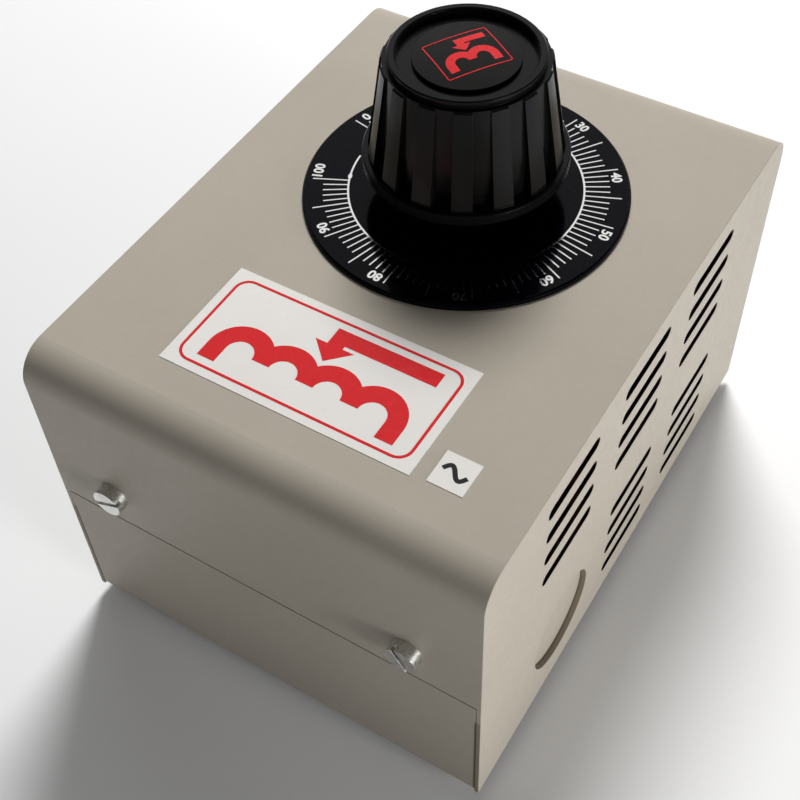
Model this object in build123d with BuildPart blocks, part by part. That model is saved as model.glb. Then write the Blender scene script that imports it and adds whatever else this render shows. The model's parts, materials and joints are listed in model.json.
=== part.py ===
from build123d import *
import os
from math import atan2, cos, degrees, hypot, radians, sin

# Enclosed variable autotransformer: a toroidal core and winding in a folded steel case,
# with a carbon brush that a knob swings round the bared top of the winding.
#
# Millimetres. +X is the right-hand side, +Y the rear and +Z up. The origin is the centre of
# the footprint, on the surface that the rubber feet stand on. Angles about the spindle are in
# degrees, counter-clockwise from +X seen from above.

os.makedirs("parts", exist_ok=True)

# ---------------------------------------------------------------- driving dimensions
# Case
case_width = 127.0
case_depth = 167.0
case_height = 100.0
sheet = 1.2
bend_radius = 9.0
tray_bend_radius = 2.0
seam_height = 47.4
seam_gap = 0.5
side_gap = 0.2
foot_height = 4.0

case_bottom = foot_height
case_top = case_bottom + case_height
half_width = case_width / 2
half_depth = case_depth / 2
inner_half_width = half_width - sheet
inner_half_depth = half_depth - sheet
floor_top = case_bottom + sheet
seam_z = case_bottom + seam_height

# Louvre slots and the pressed knockout for a cable gland, on both side panels
vent_length = 25.6
vent_height = 4.0
vent_rows = 4
vent_row_pitch = 9.3
vent_group_pitch = 39.3
vent_slant = 3.0
upper_vent_z = case_bottom + 77.0
upper_vent_groups = (-vent_group_pitch - 2.4, -2.4, vent_group_pitch - 2.4)
lower_vent_z = case_bottom + 25.4
lower_vent_groups = (0.0, vent_group_pitch)
knockout_y = -39.5
knockout_z = case_bottom + 23.9
knockout_radius = 14.6
knockout_depth = 1.8

# Cover screws, M5 cheese head
cover_screw_x = 43.7
cover_screw_z = case_bottom + 58.7
m5_shank = 2.4
m5_hole = 2.75
m5_head_radius = 4.3
m5_head_height = 3.4
screw_slot_width = 1.2
screw_slot_depth = 1.5

# Dial and knob
spindle_y = 20.0
spindle_hole = 6.0
dial_radius = 42.6
dial_thickness = 1.5
dial_chamfer = 0.5
dial_screw_circle = 12.0
knob_skirt_radius = 26.3
knob_skirt_bottom = case_bottom + 112.2
knob_skirt_top = case_bottom + 115.3
knob_shoulder_radius = 20.8
knob_shoulder = case_bottom + 141.8
knob_rim_outer = 19.1
knob_rim_inner = 17.1
knob_top = case_bottom + 143.8
knob_foot_radius = 24.9
knob_hub_radius = 9.0
knob_hub_bottom = case_top + dial_thickness + 3.0
flute_count = 15
flute_width = 12.0
flute_phase = -74.8
flute_top_radius = 20.25
flute_waist_radius = 21.9
flute_waist = 9.5
flute_foot_radius = 22.0
index_angle = 119.55
shaft_radius = 4.0
running_clearance = 0.03

# Fasteners: clearance hole, tapped hole, shank, head and nut of each thread
m3_hole = 1.7
m3_tapping = 1.5
m3_shank = 1.45
m3_nut_half_flats = 2.75
m3_nut_height = 2.4
m4_hole = 2.1
m4_tapping = 2.0
m4_shank = 1.95
m4_head_radius = 3.8
m4_nut_half_flats = 3.5
m4_nut_height = 3.2
m5_tapping = m5_shank + 0.1
m5_nut_half_flats = 4.0
m5_nut_height = 4.0
driver_slot_m3 = 0.8
driver_slot_m4 = 1.0
driver_slot_length = 9.0

# Travel: 0 % at the scale's start angle, 100 % a scale span clockwise of it
scale_start = 168.0
scale_span = 323.0
gap_angle = scale_start + (360.0 - scale_span) / 2

# Core and winding, around the spindle
core_inner = 28.0
core_outer = 52.0
core_height = 36.0
former_wall = 1.2
wire_layer = 1.3
pad_thickness = 2.0
base_disc_thickness = 4.0

base_top = floor_top + base_disc_thickness
winding_bottom = base_top + pad_thickness
former_bottom = winding_bottom + wire_layer
core_bottom = former_bottom + former_wall
core_top = core_bottom + core_height
former_top = core_top + former_wall
winding_top = former_top + wire_layer
winding_inner = core_inner - former_wall - wire_layer
winding_outer = core_outer + former_wall + wire_layer
winding_start = scale_start + 3.0
winding_sweep = scale_span + 6.0

# Clamp, collector and brush gear
clamp_radius = 31.0
clamp_bottom = winding_top + 0.8
clamp_top = clamp_bottom + 4.0
clamp_hub_radius = 10.0
clamp_hub_top = clamp_top + 3.0
bush_radius = 6.98
bush_bore = shaft_radius + running_clearance
clamp_bolt_circle = 18.0
clamp_bolt_angles = (gap_angle + 60.0, gap_angle + 180.0, gap_angle + 300.0)
collector_height = 2.5
stop_circle = 24.0
stop_pin_radius = 2.4
stop_sleeve_radius = 3.3
arm_bottom = 66.0
arm_thickness = 3.0
arm_half_width = 4.15
arm_pad_width = 22.0
arm_reach = 52.0
brush_circle = 42.0
brush_width = 5.0
brush_length = 10.0
brush_height = 12.0
brush_gap = 0.05
holder_wall = 1.2
holder_clearance = 0.1
holder_top = 73.0

# Wiring
lead_radius = 1.1
terminal_pitch = 10.0
terminal_y = -58.0
terminal_wire_z = 11.5
earth_x = 44.0
earth_y = -57.0


# ---------------------------------------------------------------- helpers
def spindle_plane(height):
    """A level plane centred on the spindle."""
    return Plane(origin=(0, spindle_y, height), x_dir=(1, 0, 0), z_dir=(0, 0, 1))


def turned_plane(height, angle):
    """A level plane on the spindle with its local X along an angle."""
    direction = (cos(radians(angle)), sin(radians(angle)), 0)
    return Plane(origin=(0, spindle_y, height), x_dir=direction, z_dir=(0, 0, 1))


def radial_plane(angle):
    """An upright plane through the spindle: local X is the radius, local Y the height."""
    outward = (cos(radians(angle)), sin(radians(angle)), 0)
    across = (sin(radians(angle)), -cos(radians(angle)), 0)
    return Plane(origin=(0, spindle_y, 0), x_dir=outward, z_dir=across)


def around_spindle(radius, angle, height):
    """A point at a radius and angle about the spindle."""
    x = radius * cos(radians(angle))
    y = spindle_y + radius * sin(radians(angle))
    return (x, y, height)


def upright_plane(x, y, height):
    """A level plane centred at a point."""
    return Plane(origin=(x, y, height), x_dir=(1, 0, 0), z_dir=(0, 0, 1))


spindle = Axis((0, spindle_y, 0), (0, 0, 1))

foot_places = [(x, y) for x in (-50.0, 50.0) for y in (-70.0, 70.0)]
floor_screw_places = [(x, spindle_y + y) for x in (-28.0, 28.0) for y in (-28.0, 28.0)]
block_screw_places = [(x, terminal_y) for x in (-24.0, 24.0)]
dial_screw_places = [around_spindle(dial_screw_circle, angle, 0)[:2] for angle in (0, 120, 240)]
clamp_bolt_places = [around_spindle(clamp_bolt_circle, angle, 0)[:2] for angle in clamp_bolt_angles]
terminal_places = [(terminal_pitch * step, terminal_y) for step in (-1.5, -0.5, 0.5, 1.5)]
cover_screw_faces = [
    Plane(origin=(0, side * half_depth, cover_screw_z), x_dir=(-side, 0, 0), z_dir=(0, side, 0))
    for side in (-1, 1)
]

# ---------------------------------------------------------------- case
# Top cover: top, front and rear flaps down to the seam, and full-height side panels.
with BuildPart() as top_cover:
    with BuildSketch(Plane.YZ):
        with Locations((0, case_bottom + case_height / 2)):
            outer = Rectangle(case_depth, case_height)
        fillet(outer.vertices().group_by(Axis.Y)[-1], bend_radius)
    extrude(amount=half_width, both=True)
    with BuildSketch(Plane.YZ):
        with Locations((0, case_bottom + case_height / 2 - sheet)):
            inner = Rectangle(case_depth - 2 * sheet, case_height)
        fillet(inner.vertices().group_by(Axis.Y)[-1], bend_radius - sheet)
    extrude(amount=inner_half_width, both=True, mode=Mode.SUBTRACT)
    with BuildSketch(Plane.XY.offset(case_bottom)):
        Rectangle(2 * inner_half_width, case_depth)
    extrude(amount=seam_height + seam_gap / 2, mode=Mode.SUBTRACT)
    for side in (-1, 1):
        panel = Plane(
            origin=(side * half_width, 0, 0), x_dir=(0, side, 0), z_dir=(side, 0, 0)
        )
        slots = [
            (side * y, z + vent_row_pitch * (row - (vent_rows - 1) / 2))
            for groups, z in ((upper_vent_groups, upper_vent_z), (lower_vent_groups, lower_vent_z))
            for y in groups
            for row in range(vent_rows)
        ]
        with BuildSketch(panel):
            with Locations(*slots):
                SlotOverall(vent_length, vent_height)
        extrude(
            amount=hypot(1, vent_slant) * 2 * sheet, dir=(-side, 0, -vent_slant), mode=Mode.SUBTRACT
        )
        with BuildSketch(panel.offset(-sheet)):
            with Locations((side * knockout_y, knockout_z)):
                Circle(knockout_radius + sheet)
        extrude(amount=-knockout_depth)
        with BuildSketch(panel):
            with Locations((side * knockout_y, knockout_z)):
                Circle(knockout_radius)
        extrude(amount=-knockout_depth, mode=Mode.SUBTRACT)
    for face in cover_screw_faces:
        with BuildSketch(face):
            with Locations((-cover_screw_x, 0), (cover_screw_x, 0)):
                Circle(m5_hole)
        extrude(amount=-2 * sheet, mode=Mode.SUBTRACT)
    with BuildSketch(spindle_plane(case_top)):
        Circle(spindle_hole)
    extrude(amount=-2 * sheet, mode=Mode.SUBTRACT)
    with BuildSketch(Plane.XY.offset(case_top)):
        with Locations(*dial_screw_places):
            Circle(m3_hole)
    extrude(amount=-2 * sheet, mode=Mode.SUBTRACT)
top_cover.part.label = "top_cover"
export_step(top_cover.part, "parts/top_cover.step")

# Base tray: floor, front and rear walls up to the seam, lips that carry the cover screws.
tray_half_width = inner_half_width - side_gap
lip_overlap = 8.0
lip_rise = 21.0
lip_half_width = 56.0
flange_height = 6.0
flange_setback = 6.0
with BuildPart() as base_tray:
    with BuildSketch(Plane.YZ):
        with Locations((0, (case_bottom + seam_z - seam_gap / 2) / 2)):
            outline = Rectangle(case_depth, seam_height - seam_gap / 2)
        fillet(outline.vertices().group_by(Axis.Y)[0], tray_bend_radius)
    extrude(amount=tray_half_width, both=True)
    with BuildSketch(Plane.YZ):
        with Locations((0, floor_top + seam_height / 2)):
            hollow = Rectangle(case_depth - 2 * sheet, seam_height)
        fillet(hollow.vertices().group_by(Axis.Y)[0], tray_bend_radius - sheet)
    extrude(amount=tray_half_width, both=True, mode=Mode.SUBTRACT)
    for side in (-1, 1):
        with Locations((0, side * (inner_half_depth - sheet / 2), seam_z + (lip_rise - lip_overlap) / 2)):
            Box(2 * lip_half_width, sheet, lip_rise + lip_overlap)
        with Locations((side * (tray_half_width - sheet / 2), 0, floor_top + flange_height / 2)):
            Box(sheet, case_depth - 2 * flange_setback, flange_height)
    for face in cover_screw_faces:
        with BuildSketch(face.offset(-sheet)):
            with Locations((-cover_screw_x, 0), (cover_screw_x, 0)):
                Circle(m5_hole)
        extrude(amount=-2 * sheet, mode=Mode.SUBTRACT)
    with BuildSketch(Plane.XY.offset(case_bottom)):
        with Locations(*foot_places):
            Circle(m4_hole)
        with Locations(*floor_screw_places):
            Circle(m4_hole)
        with Locations(*block_screw_places):
            Circle(m3_hole)
        with Locations((earth_x, earth_y)):
            Circle(m5_tapping)
    extrude(amount=2 * sheet, mode=Mode.SUBTRACT)
base_tray.part.label = "base_tray"
export_step(base_tray.part, "parts/base_tray.step")

# Slotted cheese-head screws through the cover's flaps into the tray's lips.
cover_screw_length = 9.0
with BuildPart() as cover_screws:
    for face, slot_angles in zip(cover_screw_faces, ((25.0, -60.0), (70.0, 10.0))):
        with BuildSketch(face):
            with Locations((-cover_screw_x, 0), (cover_screw_x, 0)):
                Circle(m5_head_radius)
        extrude(amount=m5_head_height, taper=3)
        with BuildSketch(face):
            with Locations((-cover_screw_x, 0), (cover_screw_x, 0)):
                Circle(m5_shank)
        extrude(amount=-cover_screw_length)
        with BuildSketch(face.offset(m5_head_height)):
            for x, angle in zip((-cover_screw_x, cover_screw_x), slot_angles):
                with Locations(Location((x, 0), angle)):
                    Rectangle(3 * m5_head_radius, screw_slot_width)
        extrude(amount=-screw_slot_depth, mode=Mode.SUBTRACT)
cover_screws.part.label = "cover_screws"
export_step(cover_screws.part, "parts/cover_screws.step")

# Clinch nuts on the inside of the lips.
clinch_nut_radius = 4.5
clinch_nut_height = 4.0
with BuildPart() as clinch_nuts:
    for face in cover_screw_faces:
        with BuildSketch(face.offset(-2 * sheet)):
            with Locations((-cover_screw_x, 0), (cover_screw_x, 0)):
                Circle(clinch_nut_radius)
                Circle(m5_tapping, mode=Mode.SUBTRACT)
        extrude(amount=-clinch_nut_height)
clinch_nuts.part.label = "clinch_nuts"
export_step(clinch_nuts.part, "parts/clinch_nuts.step")

# Rubber feet, each with a counterbored screw.
foot_radius = 7.0
foot_bore = 4.2
foot_recess = 2.4
with BuildPart() as feet:
    with BuildSketch(Plane.XY):
        with Locations(*foot_places):
            Circle(foot_radius)
    extrude(amount=foot_height, taper=-6)
    with BuildSketch(Plane.XY):
        with Locations(*foot_places):
            Circle(foot_bore)
    extrude(amount=foot_recess, mode=Mode.SUBTRACT)
    with BuildSketch(Plane.XY):
        with Locations(*foot_places):
            Circle(m4_hole)
    extrude(amount=foot_height, mode=Mode.SUBTRACT)
feet.part.label = "feet"
export_step(feet.part, "parts/feet.step")

foot_head_height = 1.6
foot_screw_length = 8.0
with BuildPart() as foot_screws:
    with BuildSketch(Plane.XY.offset(foot_recess - foot_head_height)):
        with Locations(*foot_places):
            Circle(m4_head_radius)
    extrude(amount=foot_head_height)
    with BuildSketch(Plane.XY.offset(foot_recess)):
        with Locations(*foot_places):
            Circle(m4_shank)
    extrude(amount=foot_screw_length)
foot_screws.part.label = "foot_screws"
export_step(foot_screws.part, "parts/foot_screws.step")

with BuildPart() as foot_nuts:
    with BuildSketch(Plane.XY.offset(floor_top)):
        with Locations(*foot_places):
            RegularPolygon(m4_nut_half_flats, 6, major_radius=False)
            Circle(m4_tapping, mode=Mode.SUBTRACT)
    extrude(amount=m4_nut_height)
foot_nuts.part.label = "foot_nuts"
export_step(foot_nuts.part, "parts/foot_nuts.step")

# Adhesive labels on the top.
label_thickness = 0.15
front_label_width = 69.0
front_label_depth = 33.4
front_label_y = -48.8
symbol_label_width = 9.1
symbol_label_depth = 9.5
symbol_label_x = 42.9
symbol_label_y = -60.0
with BuildPart() as front_label:
    with BuildSketch(upright_plane(0, front_label_y, case_top)):
        Rectangle(front_label_width, front_label_depth)
    extrude(amount=label_thickness)
front_label.part.label = "front_label"
export_step(front_label.part, "parts/front_label.step")

with BuildPart() as symbol_label:
    with BuildSketch(upright_plane(symbol_label_x, symbol_label_y, case_top)):
        Rectangle(symbol_label_width, symbol_label_depth)
    extrude(amount=label_thickness)
symbol_label.part.label = "symbol_label"
export_step(symbol_label.part, "parts/symbol_label.step")

# ---------------------------------------------------------------- dial and knob
dial_top = case_top + dial_thickness
countersink_radius = 3.0
countersink_depth = 1.2
dial_screw_length = 7.0
with BuildPart() as dial_plate:
    with BuildSketch(spindle_plane(case_top)):
        Circle(dial_radius)
        Circle(spindle_hole, mode=Mode.SUBTRACT)
    extrude(amount=dial_thickness)
    rim = dial_plate.edges().filter_by(GeomType.CIRCLE).group_by(Axis.Z)[-1].sort_by(SortBy.RADIUS)[-1]
    chamfer(rim, dial_chamfer)
    with BuildSketch(Plane.XY.offset(case_top)):
        with Locations(*dial_screw_places):
            Circle(m3_hole)
    extrude(amount=dial_thickness, mode=Mode.SUBTRACT)
    with BuildSketch(Plane.XY.offset(dial_top)):
        with Locations(*dial_screw_places):
            Circle(countersink_radius)
    extrude(amount=-countersink_depth, taper=45, mode=Mode.SUBTRACT)
dial_plate.part.label = "dial_plate"
export_step(dial_plate.part, "parts/dial_plate.step")

with BuildPart() as dial_screws:
    with BuildSketch(Plane.XY.offset(dial_top)):
        with Locations(*dial_screw_places):
            Circle(countersink_radius - 0.1)
    extrude(amount=-countersink_depth, taper=45)
    with BuildSketch(Plane.XY.offset(dial_top - 0.5)):
        with Locations(*dial_screw_places):
            Circle(m3_shank)
    extrude(amount=-dial_screw_length)
    with BuildSketch(Plane.XY.offset(dial_top)):
        with Locations(*dial_screw_places):
            Rectangle(driver_slot_length, driver_slot_m3)
    extrude(amount=-0.5, mode=Mode.SUBTRACT)
dial_screws.part.label = "dial_screws"
export_step(dial_screws.part, "parts/dial_screws.step")

with BuildPart() as dial_nuts:
    with BuildSketch(Plane.XY.offset(case_top - sheet)):
        with Locations(*dial_screw_places):
            RegularPolygon(m3_nut_half_flats, 6, major_radius=False)
            Circle(m3_tapping, mode=Mode.SUBTRACT)
    extrude(amount=-m3_nut_height)
dial_nuts.part.label = "dial_nuts"
export_step(dial_nuts.part, "parts/dial_nuts.step")

# Knob: a moulded shell with a skirt, a hub for the brass insert and a raised rim on top.
insert_radius = 6.0
insert_length = 28.0
insert_bottom = knob_hub_bottom + 1.0
insert_top = insert_bottom + insert_length
grub_z = knob_hub_bottom + 4.0
grub_hole = 2.1
cap_recess = knob_top - 2.2
cap_peg_radius = 4.0
index_width = 1.0
index_recess = 1.0
grub_screw_length = 4.6
hex_key = 1.0
hex_key_depth = 1.8
with BuildPart() as knob_body:
    with BuildSketch(radial_plane(0)):
        with BuildLine():
            Polyline(
                (0, knob_hub_bottom),
                (knob_hub_radius, knob_hub_bottom),
                (knob_hub_radius, knob_shoulder - 6.0),
                (knob_shoulder_radius - 3.5, knob_shoulder - 6.0),
                (knob_foot_radius - 5.0, knob_skirt_bottom),
                (knob_skirt_radius - 0.3, knob_skirt_bottom),
                (knob_skirt_radius, knob_skirt_bottom + 0.3),
                (knob_skirt_radius, knob_skirt_top - 0.3),
                (knob_skirt_radius - 0.3, knob_skirt_top),
                (knob_foot_radius, knob_skirt_top),
                (knob_shoulder_radius, knob_shoulder - 0.4),
                (knob_shoulder_radius - 0.4, knob_shoulder),
                (knob_rim_outer, knob_shoulder),
                (knob_rim_outer, knob_top - 0.3),
                (knob_rim_outer - 0.3, knob_top),
                (knob_rim_inner + 0.3, knob_top),
                (knob_rim_inner, knob_top - 0.3),
                (knob_rim_inner, cap_recess),
                (0, cap_recess),
                close=True,
            )
        make_face()
    revolve(axis=spindle)
    for flute in range(flute_count):
        middle = flute_phase + flute * 360 / flute_count
        with BuildSketch(radial_plane(middle + flute_width / 2)):
            with BuildLine():
                Polyline(
                    (flute_top_radius, knob_shoulder + 0.5),
                    (flute_top_radius, knob_shoulder),
                    (flute_waist_radius, knob_skirt_top + flute_waist),
                    (flute_foot_radius, knob_skirt_top),
                    (knob_foot_radius + 1.0, knob_skirt_top),
                    (knob_shoulder_radius + 1.0, knob_shoulder + 0.5),
                    close=True,
                )
            make_face()
        revolve(axis=spindle, revolution_arc=-flute_width, mode=Mode.SUBTRACT)
    with BuildSketch(spindle_plane(knob_hub_bottom)):
        Circle(shaft_radius + 0.3)
    extrude(amount=insert_bottom - knob_hub_bottom, mode=Mode.SUBTRACT)
    with BuildSketch(spindle_plane(insert_bottom)):
        Circle(insert_radius)
    extrude(amount=insert_top - insert_bottom, mode=Mode.SUBTRACT)
    with BuildSketch(spindle_plane(cap_recess)):
        Circle(cap_peg_radius)
    extrude(amount=-3.0, mode=Mode.SUBTRACT)
    grub_plane = Plane(origin=around_spindle(0, 0, grub_z), z_dir=(1, 0, 0))
    with BuildSketch(grub_plane):
        Circle(grub_hole)
    extrude(amount=knob_hub_radius + 1, mode=Mode.SUBTRACT)
    with BuildSketch(turned_plane(knob_skirt_bottom, index_angle)):
        with Locations((knob_skirt_radius, 0)):
            Rectangle(2 * index_recess, index_width)
    extrude(amount=knob_skirt_top - knob_skirt_bottom, mode=Mode.SUBTRACT)
knob_body.part.label = "knob_body"
export_step(knob_body.part, "parts/knob_body.step")

# White index line let into the skirt.
with BuildPart() as knob_index:
    with BuildSketch(turned_plane(knob_skirt_bottom, index_angle)):
        with Locations((knob_skirt_radius - index_recess / 2 - 0.05, 0)):
            Rectangle(index_recess - 0.1, index_width)
    extrude(amount=knob_skirt_top - knob_skirt_bottom)
knob_index.part.label = "knob_index"
export_step(knob_index.part, "parts/knob_index.step")

with BuildPart() as knob_insert:
    with BuildSketch(spindle_plane(insert_bottom)):
        Circle(insert_radius)
        Circle(shaft_radius + 0.02, mode=Mode.SUBTRACT)
    extrude(amount=insert_top - insert_bottom)
    with BuildSketch(grub_plane):
        Circle(grub_hole)
    extrude(amount=knob_hub_radius, mode=Mode.SUBTRACT)
knob_insert.part.label = "knob_insert"
export_step(knob_insert.part, "parts/knob_insert.step")

with BuildPart() as knob_grub_screw:
    with BuildSketch(grub_plane.offset(shaft_radius + 0.1)):
        Circle(grub_hole - 0.1)
    extrude(amount=grub_screw_length)
    with BuildSketch(grub_plane.offset(shaft_radius + 0.1 + grub_screw_length)):
        RegularPolygon(hex_key, 6)
    extrude(amount=-hex_key_depth, mode=Mode.SUBTRACT)
knob_grub_screw.part.label = "knob_grub_screw"
export_step(knob_grub_screw.part, "parts/knob_grub_screw.step")

# Crowned cap pressed into the knob's top.
cap_radius = 13.2
cap_edge = 1.0
cap_crown = 0.9
cap_peg_depth = 2.6
with BuildPart() as knob_cap:
    with BuildSketch(radial_plane(0)):
        with BuildLine():
            Polyline(
                (0, cap_recess + cap_edge + cap_crown),
                (0, cap_recess - cap_peg_depth),
                (cap_peg_radius - 0.1, cap_recess - cap_peg_depth),
                (cap_peg_radius - 0.1, cap_recess),
                (cap_radius, cap_recess),
                (cap_radius, cap_recess + cap_edge),
            )
            TangentArc(
                (0, cap_recess + cap_edge + cap_crown),
                (cap_radius, cap_recess + cap_edge),
                tangent=(1, 0),
            )
        make_face()
    revolve(axis=spindle)
knob_cap.part.label = "knob_cap"
export_step(knob_cap.part, "parts/knob_cap.step")

# ---------------------------------------------------------------- spindle
shaft_bottom = floor_top + 3.0
clip_z = shaft_bottom + 1.6
clip_thickness = 0.8
clip_outer = 6.2
clip_groove = 3.2
clip_mouth = 4.4
washer_thickness = 0.6
washer_radius = 6.7
collar_radius = 7.5
collar_height = 2.5
lower_bush_bottom = clip_z + clip_thickness + washer_thickness + 0.2
lower_bush_top = lower_bush_bottom + 10.0
with BuildPart() as shaft:
    with BuildSketch(spindle_plane(shaft_bottom)):
        Circle(shaft_radius)
    extrude(amount=insert_top - 1.0 - shaft_bottom)
    chamfer(shaft.edges().group_by(Axis.Z)[-1], 0.6)
    chamfer(shaft.edges().group_by(Axis.Z)[0], 0.6)
    with BuildSketch(spindle_plane(clip_z)):
        Circle(shaft_radius + 1)
        Circle(clip_groove, mode=Mode.SUBTRACT)
    extrude(amount=clip_thickness, mode=Mode.SUBTRACT)
shaft.part.label = "shaft"
export_step(shaft.part, "parts/shaft.step")

with BuildPart() as shaft_clip:
    with BuildSketch(spindle_plane(clip_z + 0.02)):
        Circle(clip_outer)
        Circle(clip_groove + 0.02, mode=Mode.SUBTRACT)
        with Locations((clip_outer, 0)):
            Rectangle(2 * clip_outer, clip_mouth, mode=Mode.SUBTRACT)
    extrude(amount=clip_thickness - 0.04)
shaft_clip.part.label = "shaft_clip"
export_step(shaft_clip.part, "parts/shaft_clip.step")

with BuildPart() as thrust_washer:
    with BuildSketch(spindle_plane(lower_bush_bottom - washer_thickness)):
        Circle(washer_radius)
        Circle(shaft_radius + 0.08, mode=Mode.SUBTRACT)
    extrude(amount=washer_thickness)
thrust_washer.part.label = "thrust_washer"
export_step(thrust_washer.part, "parts/thrust_washer.step")

with BuildPart() as lower_bush:
    with BuildSketch(spindle_plane(lower_bush_bottom)):
        Circle(bush_radius)
        Circle(bush_bore, mode=Mode.SUBTRACT)
    extrude(amount=lower_bush_top - lower_bush_bottom)
lower_bush.part.label = "lower_bush"
export_step(lower_bush.part, "parts/lower_bush.step")

upper_bush_bottom = clamp_hub_top - 10.0
with BuildPart() as upper_bush:
    with BuildSketch(spindle_plane(upper_bush_bottom)):
        Circle(bush_radius)
        Circle(bush_bore, mode=Mode.SUBTRACT)
    extrude(amount=clamp_hub_top - upper_bush_bottom)
upper_bush.part.label = "upper_bush"
export_step(upper_bush.part, "parts/upper_bush.step")

with BuildPart() as shaft_collar:
    with BuildSketch(spindle_plane(clamp_hub_top + 0.3)):
        Circle(collar_radius)
        Circle(shaft_radius + 0.02, mode=Mode.SUBTRACT)
    extrude(amount=collar_height)
    chamfer(shaft_collar.edges().group_by(Axis.Z)[-1].sort_by(SortBy.RADIUS)[-1], 0.4)
shaft_collar.part.label = "shaft_collar"
export_step(shaft_collar.part, "parts/shaft_collar.step")

# ---------------------------------------------------------------- core and winding
base_disc_radius = 50.0
boss_radius = 12.0
bush_seat = 7.0
bolt_boss_radius = 5.0
bolt_boss_top = base_top + 12.0
bolt_tapping_depth = 11.0
with BuildPart() as core_base:
    with BuildSketch(spindle_plane(floor_top)):
        Circle(base_disc_radius)
    extrude(amount=base_disc_thickness)
    with BuildSketch(spindle_plane(base_top)):
        Circle(boss_radius)
    extrude(amount=lower_bush_top - base_top)
    with BuildSketch(Plane.XY.offset(base_top)):
        with Locations(*clamp_bolt_places):
            Circle(bolt_boss_radius)
    extrude(amount=bolt_boss_top - base_top)
    with BuildSketch(spindle_plane(floor_top)):
        Circle(bush_seat)
    extrude(amount=lower_bush_top - floor_top, mode=Mode.SUBTRACT)
    with BuildSketch(Plane.XY.offset(floor_top)):
        with Locations(*floor_screw_places):
            Circle(m4_tapping)
    extrude(amount=base_disc_thickness, mode=Mode.SUBTRACT)
    with BuildSketch(Plane.XY.offset(bolt_boss_top)):
        with Locations(*clamp_bolt_places):
            Circle(m4_tapping)
    extrude(amount=-bolt_tapping_depth, mode=Mode.SUBTRACT)
core_base.part.label = "core_base"
export_step(core_base.part, "parts/core_base.step")

floor_head_height = 1.8
with BuildPart() as floor_screws:
    with BuildSketch(Plane.XY.offset(case_bottom)):
        with Locations(*floor_screw_places):
            Circle(m4_head_radius)
    extrude(amount=-floor_head_height)
    with BuildSketch(Plane.XY.offset(case_bottom)):
        with Locations(*floor_screw_places):
            Circle(m4_shank)
    extrude(amount=sheet + base_disc_thickness)
    with BuildSketch(Plane.XY.offset(case_bottom - floor_head_height)):
        with Locations(*floor_screw_places):
            Rectangle(driver_slot_length, driver_slot_m4)
    extrude(amount=floor_head_height - 1.0, mode=Mode.SUBTRACT)
floor_screws.part.label = "floor_screws"
export_step(floor_screws.part, "parts/floor_screws.step")

with BuildPart() as lower_pad:
    with BuildSketch(spindle_plane(base_top)):
        Circle(base_disc_radius - 1.0)
        Circle(winding_inner, mode=Mode.SUBTRACT)
    extrude(amount=pad_thickness)
lower_pad.part.label = "lower_pad"
export_step(lower_pad.part, "parts/lower_pad.step")

with BuildPart() as core:
    with BuildSketch(spindle_plane(core_bottom)):
        Circle(core_outer)
        Circle(core_inner, mode=Mode.SUBTRACT)
    extrude(amount=core_height)
core.part.label = "core"
export_step(core.part, "parts/core.step")

# The former is two moulded trays that meet at mid height around the core.
former_outer = core_outer + former_wall
former_inner = core_inner - former_wall
former_split = core_bottom + core_height / 2
with BuildPart() as former_lower:
    with BuildSketch(spindle_plane(former_bottom)):
        Circle(former_outer)
        Circle(former_inner, mode=Mode.SUBTRACT)
    extrude(amount=former_split - 0.1 - former_bottom)
    with BuildSketch(spindle_plane(core_bottom)):
        Circle(core_outer)
        Circle(core_inner, mode=Mode.SUBTRACT)
    extrude(amount=core_height, mode=Mode.SUBTRACT)
former_lower.part.label = "former_lower"
export_step(former_lower.part, "parts/former_lower.step")

with BuildPart() as former_upper:
    with BuildSketch(spindle_plane(former_top)):
        Circle(former_outer)
        Circle(former_inner, mode=Mode.SUBTRACT)
    extrude(amount=former_split + 0.1 - former_top)
    with BuildSketch(spindle_plane(core_top)):
        Circle(core_outer)
        Circle(core_inner, mode=Mode.SUBTRACT)
    extrude(amount=-core_height, mode=Mode.SUBTRACT)
former_upper.part.label = "former_upper"
export_step(former_upper.part, "parts/former_upper.step")

# One layer of enamelled wire, as a closed sleeve round the former with a gap at the stops.
with BuildPart() as winding:
    with BuildSketch(radial_plane(winding_start)):
        with Locations(((winding_inner + winding_outer) / 2, (winding_bottom + winding_top) / 2)):
            Rectangle(winding_outer - winding_inner, winding_top - winding_bottom)
        with Locations(((former_inner + former_outer) / 2, (former_bottom + former_top) / 2)):
            Rectangle(former_outer - former_inner, former_top - former_bottom, mode=Mode.SUBTRACT)
    revolve(axis=spindle, revolution_arc=-winding_sweep)
winding.part.label = "winding"
export_step(winding.part, "parts/winding.step")

with BuildPart() as upper_pad:
    with BuildSketch(spindle_plane(winding_top)):
        Circle(clamp_radius)
        Circle(winding_inner, mode=Mode.SUBTRACT)
    extrude(amount=clamp_bottom - winding_top)
upper_pad.part.label = "upper_pad"
export_step(upper_pad.part, "parts/upper_pad.step")

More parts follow.
